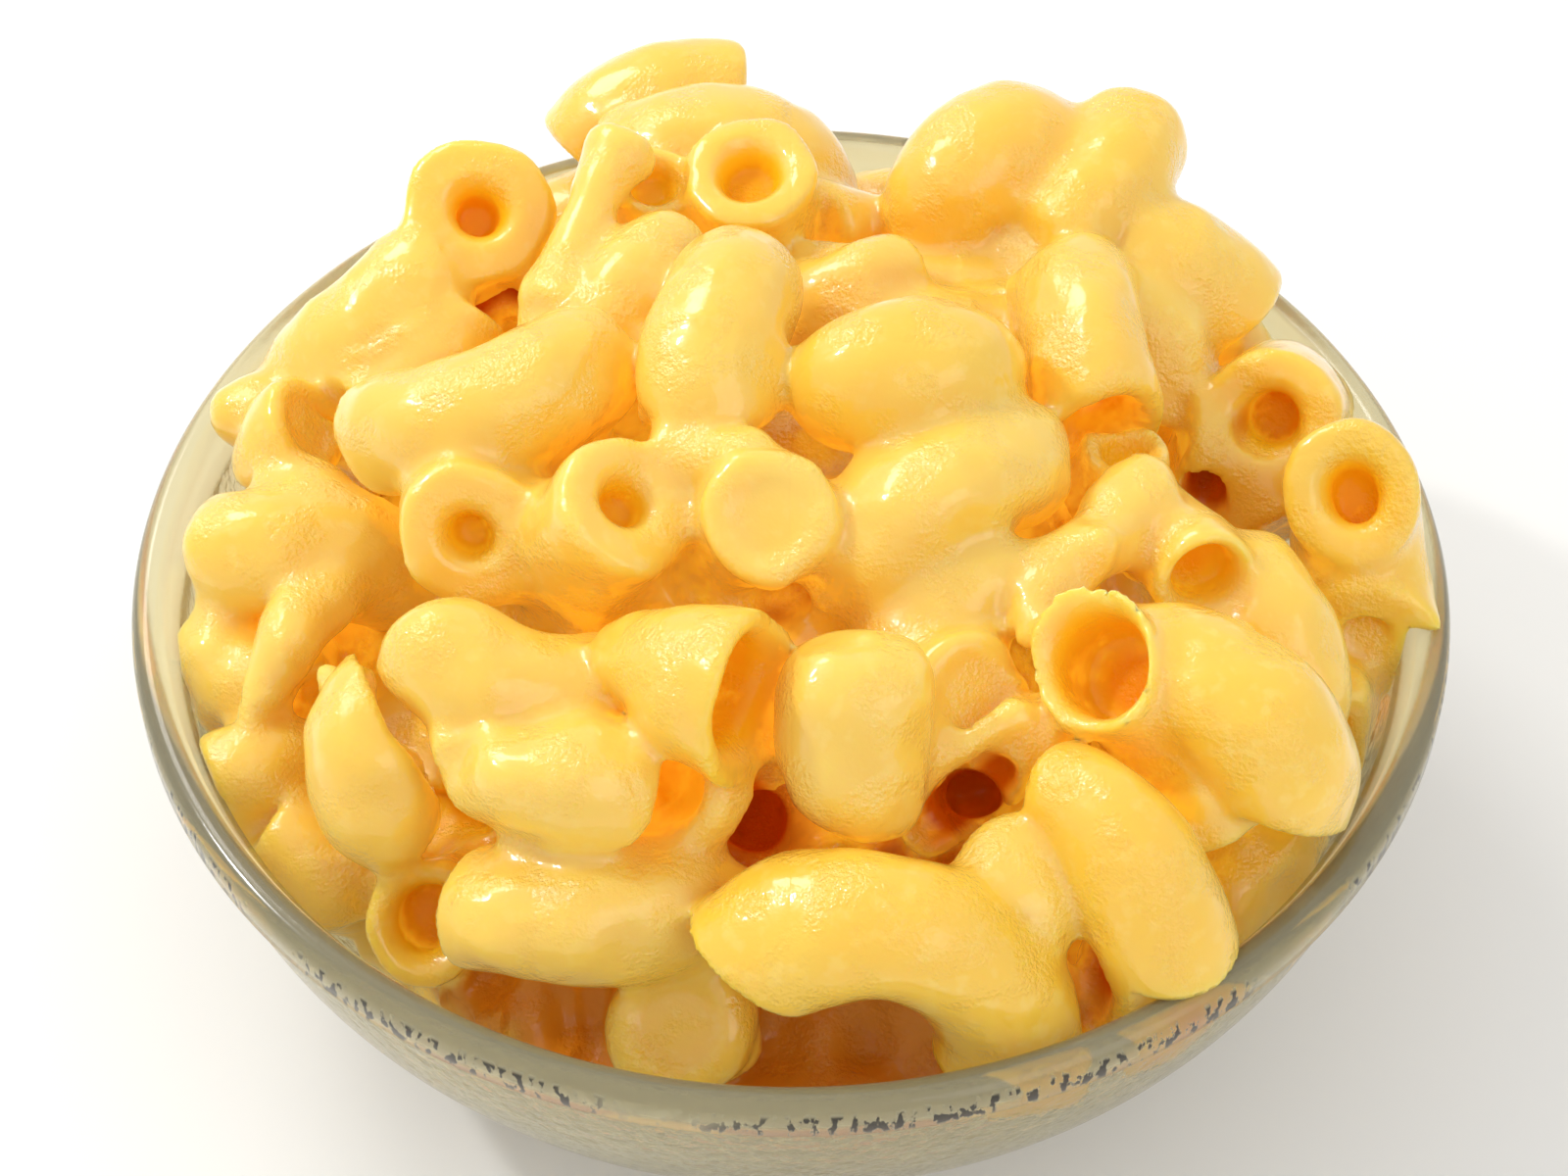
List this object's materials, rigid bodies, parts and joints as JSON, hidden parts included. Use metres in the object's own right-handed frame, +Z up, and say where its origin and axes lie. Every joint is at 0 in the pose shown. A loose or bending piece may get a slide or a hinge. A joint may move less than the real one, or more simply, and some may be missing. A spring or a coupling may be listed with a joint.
{
  "type": "mac and cheese in a small glass bowl",
  "caption": "Elbow macaroni in cheese sauce heaped above the rim of a small round clear glass bowl with a rounded rim bead and a low foot.",
  "frame": {"origin": "middle of the bowl's underside, on the surface that the bowl stands on", "axes": "+Z up through the middle of the bowl, -Y towards the side that is seen from the front"},
  "size_m": [0.09, 0.09, 0.0548],
  "materials": {
    "clear_glass": "pressed clear glass, smooth at the rim and finely stippled under it",
    "macaroni_and_sauce": "boiled elbow macaroni wet with pale yellow cheese sauce"
  },
  "bodies": {
    "root": {"glass_bowl": "clear_glass", "macaroni_heap": "macaroni_and_sauce"}
  },
  "joints": []
}
